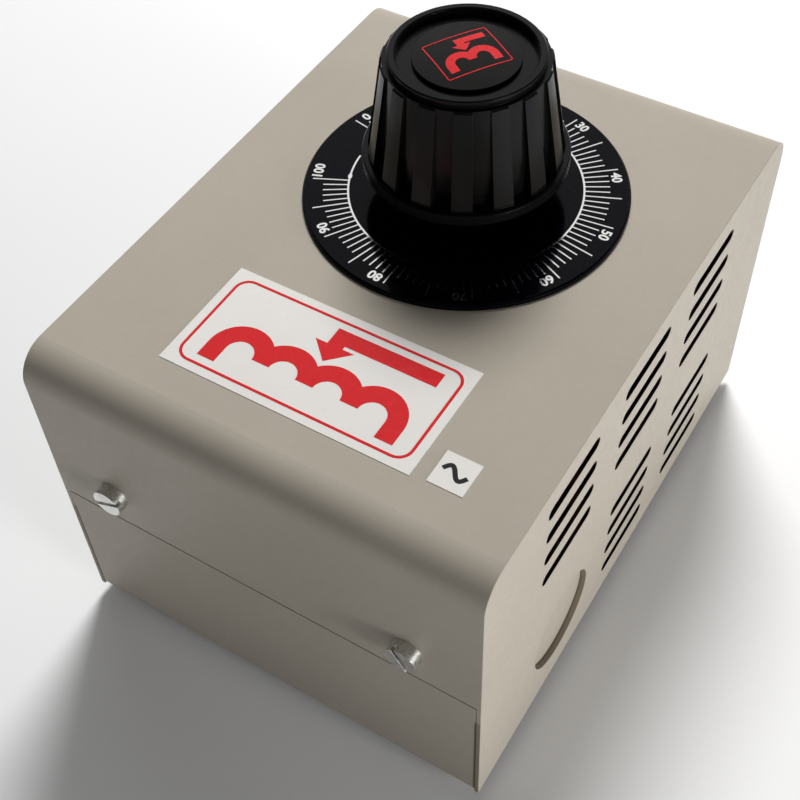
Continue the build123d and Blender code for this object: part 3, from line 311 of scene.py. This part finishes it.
def rubber():
    soft = Finish("rubber_black", (0.018, 0.018, 0.018, 1), Specular_IOR_Level=0.3)
    soft.mottle(220.0, 0.3)
    soft.paint(soft.spread(soft.noise(900.0, 3.0), 0.0, 0.5, 0.6, 0.8), (0.07, 0.068, 0.062, 1))
    soft.polish(500.0, 0.65, 0.9)
    soft.relief(soft.noise(1500.0, 3.0), 0.4, 0.05 * MM)
    return soft


def film():
    """White polyester label: a little gloss, very slight waviness and dirt at its rim."""
    label = Finish("label_white", tone(222, 219, 214), Specular_IOR_Level=0.35)
    label.mottle(60.0, 0.035)
    label.paint(label.maths("MULTIPLY", label.edges(0.4 * MM, 500.0), 0.5), tone(180, 172, 160))
    label.polish(300.0, 0.26, 0.38)
    label.relief(label.noise(160.0, 2.0), 0.10, 0.05 * MM)
    label.relief(label.noise(2800.0, 1.0), 0.05, 0.01 * MM)
    return label


def ink(name, colour, low=0.3, high=0.45, metallic=0.0):
    """Screen-printed ink, a little uneven in density."""
    layer = Finish(name, colour, metallic=metallic, Specular_IOR_Level=0.4)
    layer.mottle(700.0, 0.08)
    layer.polish(900.0, low, high)
    layer.relief(layer.noise(4200.0, 2.0), 0.05, 0.01 * MM)
    return layer


def dial_lacquer():
    """Gloss black lacquer with fine dust."""
    lacquer = Finish("dial_black", (0.0012, 0.0012, 0.0028, 1), Specular_IOR_Level=0.08)
    lacquer.mottle(70.0, 0.25)
    dust = lacquer.spread(lacquer.noise(2600.0, 2.0), 0.0, 0.02, 0.62, 0.74)
    lacquer.paint(dust, (0.5, 0.5, 0.5, 1))
    # Painted highlight: a faint lighter grey along the dial's rim edges.
    rim_highlight = lacquer.edges(0.30 * MM, 320.0)
    lacquer.paint(lacquer.maths("MULTIPLY", rim_highlight, 0.04), (0.5, 0.5, 0.52, 1))
    lacquer.polish(240.0, 0.07, 0.14)
    lacquer.rounded(0.10 * MM)
    lacquer.relief(lacquer.noise(130.0, 2.0), 0.03, 0.05 * MM)
    return lacquer


def strip_wound():
    """Edge of a tightly wound steel strip: close rings about the spindle."""
    steel = Finish("core_steel", (0.36, 0.37, 0.40, 1), metallic=1.0)
    radius = steel.radius_from(SPINDLE_AXIS)
    rings = steel.maths("SINE", steel.maths("MULTIPLY", radius, 2 * math.pi / (STRIP_THICKNESS * MM)))
    steel.mottle(150.0, 0.3)
    steel.paint(steel.spread(rings, 0.0, 0.6, -0.2, 1.0), (0.14, 0.15, 0.19, 1))
    steel.polish(400.0, 0.32, 0.55)
    steel.relief(rings, 0.3, 0.03 * MM)
    return steel


def wire_enamel():
    """Enamelled copper wire, ground bare on the brush track on top."""
    wire = Finish("enamelled_copper", (0.42, 0.12, 0.035, 1), metallic=0.85)
    wire.mottle(110.0, 0.35)
    radius = wire.radius_from(SPINDLE_AXIS)
    inside = wire.beyond(radius, TRACK_INSIDE)
    outside = wire.short_of(radius, TRACK_OUTSIDE)
    top = wire.beyond(wire.height_above(TRACK_LEVEL * MM), (0.0, 0.05))
    track = wire.maths("MULTIPLY", wire.maths("MULTIPLY", inside, outside), top)
    wire.paint(track, (0.86, 0.42, 0.22, 1))
    wire.polish(500.0, 0.22, 0.36)
    wire.relief(wire.noise(900.0, 2.0), 0.12, 0.03 * MM)
    return wire


def cast():
    metal = Finish("cast_aluminium", (0.60, 0.61, 0.62, 1), metallic=1.0)
    metal.mottle(200.0, 0.25)
    metal.polish(600.0, 0.42, 0.65)
    metal.rounded(0.4 * MM)
    metal.relief(metal.noise(1300.0, 3.0), 0.45, 0.06 * MM)
    return metal


def fibre_board():
    board = Finish("pressboard", (0.34, 0.24, 0.13, 1), Specular_IOR_Level=0.2)
    board.mottle(300.0, 0.3)
    fibres = board.noise(500.0, 4.0, stretch=(1, 6, 1))
    board.paint(board.spread(fibres, 0.0, 0.5, 0.5, 0.75), (0.50, 0.38, 0.22, 1))
    board.polish(500.0, 0.75, 0.92)
    board.relief(fibres, 0.4, 0.05 * MM)
    return board


def sleeved(name, colour, stripe=None):
    """PVC sleeve of a lead, with a stripe where it is two-coloured."""
    sleeve = Finish(name, colour, Specular_IOR_Level=0.5)
    sleeve.mottle(180.0, 0.15)
    if stripe:
        parts = sleeve.add("SeparateXYZ", {0: sleeve.place})
        band = sleeve.maths("SINE", sleeve.maths("MULTIPLY", parts.outputs["Z"], 2500.0))
        sleeve.paint(sleeve.spread(band, 0.0, 1.0, 0.2, 0.3), stripe)
    sleeve.polish(500.0, 0.35, 0.5)
    sleeve.relief(sleeve.noise(1200.0, 2.0), 0.15, 0.03 * MM)
    return sleeve


def sintered(name, colour, low, high):
    """Porous sintered metal or pressed carbon: matt, with small open pits."""
    metal = Finish(name, colour, metallic=0.9)
    metal.mottle(400.0, 0.3)
    pits = metal.spread(metal.noise(3600.0, 3.0), 0.0, 1.0, 0.58, 0.70)
    metal.paint(pits, scaled(colour, 0.35))
    metal.polish(700.0, low, high)
    metal.relief(metal.maths("SUBTRACT", 1.0, pits), 0.4, 0.03 * MM)
    return metal


FINISHES = {
    "case_paint": painted_case(),
    "zinc_steel": plated("zinc_steel", (0.74, 0.74, 0.71, 1), 0.22, 0.38),
    "rubber_black": rubber(),
    "label_white": film(),
    "dial_black": dial_lacquer(),
    "knob_black": moulded(
        "knob_black",
        (0.004, 0.004, 0.0041, 1),
        0.18,
        0.26,
        relief=0.10,
        wear=(0.016, 0.016, 0.016, 1),
        specular=0.14,
    ),
    "cap_black": moulded("cap_black", (0.0066, 0.0066, 0.0060, 1), 0.30, 0.42, specular=0.13),
    "index_white": ink("index_white", (0.78, 0.78, 0.76, 1)),
    "shaft_steel": turned("shaft_steel", (0.58, 0.58, 0.58, 1), 0.20, 0.34),
    "bronze": sintered("bronze", (0.56, 0.36, 0.18, 1), 0.38, 0.55),
    "brass": turned("brass", (0.76, 0.56, 0.25, 1), 0.20, 0.34),
    "cast_aluminium": cast(),
    "pressboard": fibre_board(),
    "core_steel": strip_wound(),
    "former_plastic": moulded("former_plastic", (0.62, 0.59, 0.48, 1), 0.42, 0.58),
    "enamelled_copper": wire_enamel(),
    "phenolic": moulded("phenolic", (0.075, 0.028, 0.014, 1), 0.32, 0.48, wear=(0.16, 0.08, 0.05, 1)),
    "terminal_plastic": moulded("terminal_plastic", (0.66, 0.65, 0.58, 1), 0.38, 0.52),
    "lead_brown": sleeved("lead_brown", (0.075, 0.022, 0.008, 1)),
    "lead_blue": sleeved("lead_blue", (0.012, 0.06, 0.32, 1)),
    "lead_black": sleeved("lead_black", (0.012, 0.012, 0.012, 1)),
    "lead_green": sleeved("lead_green", (0.03, 0.22, 0.05, 1), stripe=(0.72, 0.60, 0.05, 1)),
    "carbon": sintered("carbon", (0.03, 0.03, 0.032, 1), 0.5, 0.7),
}
PRINT_WHITE = ink("print_white", (0.92, 0.92, 0.90, 1), 0.09, 0.15, metallic=1.0)
PRINT_RED = ink("print_red", tone(206, 10, 20), 0.25, 0.38)
PRINT_BLACK = ink("print_black", (0.008, 0.008, 0.008, 1), 0.25, 0.38)

for row in frame["record"]["subparts"]:
    node = frame["nodes"][row["node"]]
    node.data.materials.clear()
    node.data.materials.append(FINISHES[row["material_slot"]].material)


# ---------------------------------------------------------------- print, as thin raised layers
class Print:
    """Flat artwork in millimetres, which is then raised by its ink's thickness and laid on a surface."""

    def __init__(self):
        self.mesh = bmesh.new()

    def shape(self, outline):
        corners = [self.mesh.verts.new((u, v, 0)) for u, v in outline]
        self.mesh.faces.new(corners)

    def line(self, path, widths, closed=False):
        """A bar along a path. widths is one width or one for each point."""
        count = len(path)
        points = [Vector(point) for point in path]
        if not isinstance(widths, (list, tuple)):
            widths = [widths] * count
        rows = []
        for index, point in enumerate(points):
            before = points[index - 1] if index or closed else point
            after = points[(index + 1) % count] if index + 1 < count or closed else point
            steps = [(b - a).normalized() for a, b in ((before, point), (point, after)) if (b - a).length]
            normals = [Vector((-step.y, step.x)) for step in steps]
            total = sum(normals, Vector((0, 0)))
            if len(normals) == 1:
                side = normals[0] * widths[index] / 2
            else:
                side = total * widths[index] / total.length_squared
            rows.append([self.mesh.verts.new((*(point + way * side), 0)) for way in (-1, 1)])
        pairs = zip(rows, rows[1:] + rows[:1] if closed else rows[1:])
        for first, second in pairs:
            self.mesh.faces.new((first[0], second[0], second[1], first[1]))

    def text(self, body, size, centre, angle, weight):
        """Upright digits centred at a point and turned by an angle in degrees."""
        curve = bpy.data.curves.new("digits", "FONT")
        curve.body = body
        curve.size = size
        curve.align_x = "CENTER"
        curve.align_y = "CENTER"
        curve.offset = weight
        curve.resolution_u = 4
        writer = bpy.data.objects.new("digits", curve)
        bpy.context.scene.collection.objects.link(writer)
        shaped = writer.evaluated_get(bpy.context.evaluated_depsgraph_get())
        letters = bpy.data.meshes.new_from_object(shaped)
        turn = Matrix.Translation((*centre, 0)) @ Matrix.Rotation(math.radians(angle), 4, "Z")
        letters.transform(turn)
        self.mesh.from_mesh(letters)
        bpy.data.meshes.remove(letters)
        bpy.data.objects.remove(writer)
        bpy.data.curves.remove(curve)

    def lay(self, name, body, thickness, place, material, step=None):
        """Raises the artwork and makes it a piece that rides on a body."""
        mesh = self.mesh
        bmesh.ops.remove_doubles(mesh, verts=mesh.verts, dist=1e-5)
        bmesh.ops.triangulate(mesh, faces=mesh.faces)
        while step:
            long_edges = [edge for edge in mesh.edges if edge.calc_length() > step]
            if not long_edges:
                break
            bmesh.ops.subdivide_edges(mesh, edges=long_edges, cuts=1)
            bmesh.ops.triangulate(mesh, faces=mesh.faces)
        for face in mesh.faces:
            if face.normal.z < 0:
                face.normal_flip()
        raised = bmesh.ops.extrude_face_region(mesh, geom=mesh.faces[:])["geom"]
        for item in raised:
            if isinstance(item, bmesh.types.BMVert):
                item.co.z = thickness
        bmesh.ops.recalc_face_normals(mesh, faces=mesh.faces)
        for face in mesh.faces:
            face.smooth = False
        for vertex in mesh.verts:
            vertex.co = place(*vertex.co)
        data = bpy.data.meshes.new(name)
        mesh.to_mesh(data)
        mesh.free()
        piece = bpy.data.objects.new(name, data)
        bpy.context.scene.collection.objects.link(piece)
        data.materials.append(material.material)
        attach(piece, body)
        return piece


def level(centre, top, angle=0.0):
    """Lays artwork flat at a height, turned about its centre."""
    turn = math.radians(angle)

    def place(u, v, rise):
        x = centre[0] + u * math.cos(turn) - v * math.sin(turn)
        y = centre[1] + u * math.sin(turn) + v * math.cos(turn)
        return Vector((x, y, top + rise)) * MM

    return place


def crowned(centre, top, angle, radius, crown):
    """Lays artwork on a shallow dome."""
    sphere = (radius**2 + crown**2) / (2 * crown)
    flat = level(centre, 0.0, angle)

    def place(u, v, rise):
        drop = sphere - math.sqrt(sphere**2 - u**2 - v**2)
        return flat(u, v, top - drop + rise)

    return place


def polar(radius, angle):
    return (radius * math.cos(math.radians(angle)), radius * math.sin(math.radians(angle)))


def arc(centre, radius, start, end, steps):
    points = []
    for index in range(steps + 1):
        u, v = polar(radius, start + (end - start) * index / steps)
        points.append((centre[0] + u, centre[1] + v))
    return points


def rounded_frame(width, height, radius):
    """Points of a rectangle's outline with rounded corners."""
    points = []
    for u_side, v_side, start in ((1, 1, 0), (-1, 1, 90), (-1, -1, 180), (1, -1, 270)):
        centre = (u_side * (width / 2 - radius), v_side * (height / 2 - radius))
        points += arc(centre, radius, start, start + 90, 8)
    return points


def emblem(art, turns, scale, shift=(0.0, 0.0)):
    """A coil of bold arches and the wiper arrow that comes down on it."""
    bar = 4.5
    middle = 5.7
    base = -6.2
    foot = -10.8
    outer = middle + bar / 2
    inner = middle - bar / 2
    valley = math.degrees(math.acos(middle / outer))
    centres = [middle * (2 * turn - turns + 1) for turn in range(turns)]
    left = centres[0] - middle
    right = centres[-1] + middle
    coil = [(left - bar / 2, foot)]
    for index, u in enumerate(centres):
        start = 180 if index == 0 else 180 - valley
        end = 0 if index == turns - 1 else valley
        coil += arc((u, base), outer, start, end, 16)
    coil += [(right + bar / 2, foot), (right - bar / 2, foot)]
    for u in reversed(centres):
        coil += arc((u, base), inner, 0, 180, 12)
    coil += [(left + bar / 2, foot)]
    tip = base + outer - 0.6
    head = tip + 4.9
    roof = 11.0
    shaft = 2.0
    barb = 5.0
    end = right + bar / 2
    arrow = [
        (0.0, tip),
        (barb, head),
        (shaft, head),
        (shaft, roof - 2 * shaft),
        (end, roof - 2 * shaft),
        (end, roof),
        (-shaft, roof),
        (-shaft, head),
        (-barb, head),
    ]
    for outline in (coil, arrow):
        art.shape([(shift[0] + u * scale, shift[1] + v * scale) for u, v in outline])


SCALE_START = 168.0
SCALE_STEP = 3.23
SCALE_RADIUS = 30.6
SCALE_LINE = 0.5
TICK_WIDTH = 0.38
SHORT_TICK = 37.2
LONG_TICK = 40.2
DIGIT_RADIUS = 39.1
DIGIT_SIZE = 3.7
DIGIT_LAG = 4.5
DIGIT_WEIGHT = 0.12


def dial_scale():
    """White scale: a ring, a hundred divisions and a number at each tenth."""
    art = Print()
    for percent in range(101):
        angle = SCALE_START - SCALE_STEP * percent
        end = SHORT_TICK if percent % 5 else LONG_TICK
        art.line([polar(SCALE_RADIUS + SCALE_LINE / 2, angle), polar(end, angle)], TICK_WIDTH)
        if percent % 10 == 0:
            lag = angle - DIGIT_LAG
            art.text(str(percent), DIGIT_SIZE, polar(DIGIT_RADIUS, lag), lag - 90, DIGIT_WEIGHT)
    run_on = -174.0
    bead = -158.0
    count = 342
    angles = [SCALE_START + (run_on - SCALE_START) * index / count for index in range(count + 1)]
    path = [polar(SCALE_RADIUS, angle) for angle in angles]
    widths = [SCALE_LINE + 0.6 * max(0.0, 1 - ((angle - bead) / 1.8) ** 2) for angle in angles]
    art.line(path, widths)
    place = level(SPINDLE, DIAL_TOP)
    return art.lay("scale_print", "case", INK_THICKNESS, place, PRINT_WHITE)


def label_print():
    art = Print()
    art.line(rounded_frame(63.6, 28.2, 3.6), 0.75, closed=True)
    emblem(art, 4, 1.08)
    return art.lay("label_print", "case", INK_THICKNESS, level(LABEL_CENTRE, LABEL_TOP), PRINT_RED)


def symbol_print():
    """The sign for alternating current."""
    art = Print()
    steps = 40
    width = 6.2
    height = 1.55
    path = [
        (-width / 2 + width * step / steps, height * math.sin(2 * math.pi * step / steps))
        for step in range(steps + 1)
    ]
    art.line(path, 1.15)
    return art.lay("symbol_print", "case", INK_THICKNESS, level(SYMBOL_CENTRE, LABEL_TOP), PRINT_BLACK)


def cap_print():
    art = Print()
    art.line(rounded_frame(16.8, 14.1, 0.5), 0.28, closed=True)
    emblem(art, 2, 0.50)
    dome = crowned(SPINDLE, CAP_TOP, CAP_ANGLE, CAP_RADIUS, CAP_CROWN)
    return art.lay("cap_print", "rotor", CAP_INK_THICKNESS, dome, PRINT_RED, step=1.5)


dial_scale()
label_print()
symbol_print()
cap_print()


# ---------------------------------------------------------------- brush spring
def pressed_spring():
    """The coil over the brush, as a copy that rides on the rotor."""
    coil = frame["nodes"]["brush_spring"]
    piece = bpy.data.objects.new("pressed_spring", coil.data.copy())
    bpy.context.scene.collection.objects.link(piece)
    piece.matrix_world = coil.matrix_world.copy()
    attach(piece, "rotor")
    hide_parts("brush_spring")
    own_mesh(piece)


pressed_spring()


# ---------------------------------------------------------------- floor and light
def make_floor():
    """A pale floor that curves up far behind the object on every side."""
    flat = 1.3
    curve = 0.7
    profile = [(0.6, 0.0), (flat, 0.0)]
    for turn in (0.2, 0.4, 0.7, 1.0, 1.3, 1.5):
        profile.append((flat + curve * math.sin(turn), curve - curve * math.cos(turn)))
    mesh = bmesh.new()
    rings = []
    sides = 96
    for radius, height in profile:
        ring = []
        for side in range(sides):
            angle = 2 * math.pi * side / sides
            ring.append(mesh.verts.new((radius * math.cos(angle), radius * math.sin(angle), height)))
        rings.append(ring)
    mesh.faces.new(rings[0])
    for low, high in zip(rings, rings[1:]):
        for side in range(sides):
            after = (side + 1) % sides
            mesh.faces.new((low[side], high[side], high[after], low[after]))
    for face in mesh.faces:
        face.smooth = True
    data = bpy.data.meshes.new("floor")
    mesh.to_mesh(data)
    mesh.free()
    floor = bpy.data.objects.new("floor", data)
    bpy.context.scene.collection.objects.link(floor)
    paper = Finish("floor_paper", (0.82, 0.82, 0.82, 1), roughness=0.8, Specular_IOR_Level=0.2)
    paper.mottle(3.0, 0.02)
    paper.relief(paper.noise(600.0, 2.0), 0.05, 0.05 * MM)
    data.materials.append(paper.material)


def soft_light(name, place, size, power, glossy=True):
    """A round softbox aimed at the object. With glossy off it is polarised, and gives no glare."""
    data = bpy.data.lights.new(name, "AREA")
    data.shape = "DISK"
    data.size = size
    data.energy = power
    lamp = bpy.data.objects.new(name, data)
    lamp.visible_camera = False
    lamp.visible_glossy = glossy
    bpy.context.scene.collection.objects.link(lamp)
    lamp.location = place
    aim = Vector((0, 0, 0.06)) - Vector(place)
    lamp.rotation_mode = "QUATERNION"
    lamp.rotation_quaternion = aim.to_track_quat("-Z", "Y")


make_floor()
soft_light("key_light", (-0.26, 0.66, 0.98), 0.42, 14.4, glossy=False)
soft_light("rear_panel", (-0.55, 0.99, 1.07), 1.6, 5.0)
soft_light("side_light", (0.74, -0.18, 0.17), 0.3, 4.2)

world = bpy.data.worlds.new("studio")
world.use_nodes = True
sky = world.node_tree.nodes["Background"]
sky.inputs["Color"].default_value = (0.92, 0.95, 1.0, 1)
sky.inputs["Strength"].default_value = 0.05
bpy.context.scene.world = world
bpy.context.scene.view_settings.view_transform = "Standard"
bpy.context.scene.view_settings.look = "None"
